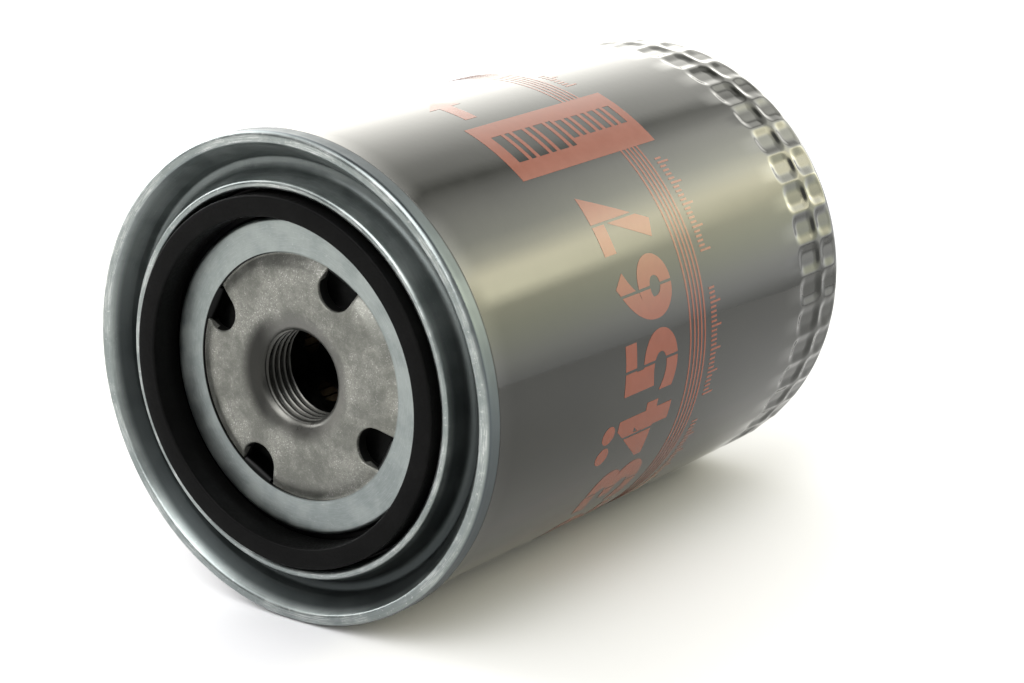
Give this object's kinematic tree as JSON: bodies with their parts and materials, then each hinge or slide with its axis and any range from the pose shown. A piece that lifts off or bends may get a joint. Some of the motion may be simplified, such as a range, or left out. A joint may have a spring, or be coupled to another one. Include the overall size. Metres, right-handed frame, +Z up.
{
  "type": "spin-on oil filter",
  "caption": "Spin-on engine oil filter: steel can with a grip band and domed end, seamed cover, face gasket, threaded hub plate, pleated element, drainback and bypass valves.",
  "frame": {"origin": "mouth of the threaded hole, on the filter's axis", "axes": "+Y along the filter's axis from the mounting face to the dome; +Z up as the filter lies on its side; +X to the right seen from the mounting face"},
  "size_m": [0.0954, 0.1419, 0.0954],
  "materials": {
    "can_paint": "gloss",
    "zinc_plate": "satin zinc plate",
    "phosphated_steel": "matt phosphate",
    "sealing_compound": "matt",
    "gasket_rubber": "matt",
    "valve_rubber": "matt",
    "tinned_steel": "bright",
    "adhesive": "satin",
    "filter_paper": "matt resin-treated paper",
    "spring_steel": "oiled"
  },
  "bodies": {
    "filter": {"can": "can_paint", "cover": "zinc_plate", "base_plate": "phosphated_steel", "seam_compound": "sealing_compound", "gasket": "gasket_rubber", "anti_drainback_valve": "valve_rubber", "front_end_cap": "tinned_steel", "rear_end_cap": "tinned_steel", "front_potting": "adhesive", "rear_potting": "adhesive", "centre_tube": "tinned_steel", "pleated_media": "filter_paper", "media_seam_clip": "tinned_steel", "bypass_seat": "tinned_steel", "bypass_cage": "tinned_steel", "bypass_spring": "spring_steel", "element_spring": "spring_steel", "spring_seat": "tinned_steel"},
    "bypass_valve": {"bypass_poppet": "tinned_steel", "bypass_seal": "valve_rubber"}
  },
  "joints": [
    {"name": "bypass_opening", "type": "slide", "parent": "filter", "child": "bypass_valve", "axis": [0, -1, 0], "range_m": [0, 0.003], "stiffness_N_per_m": 5000, "springref_m": -0.004, "deforming": ["bypass_spring"]}
  ]
}
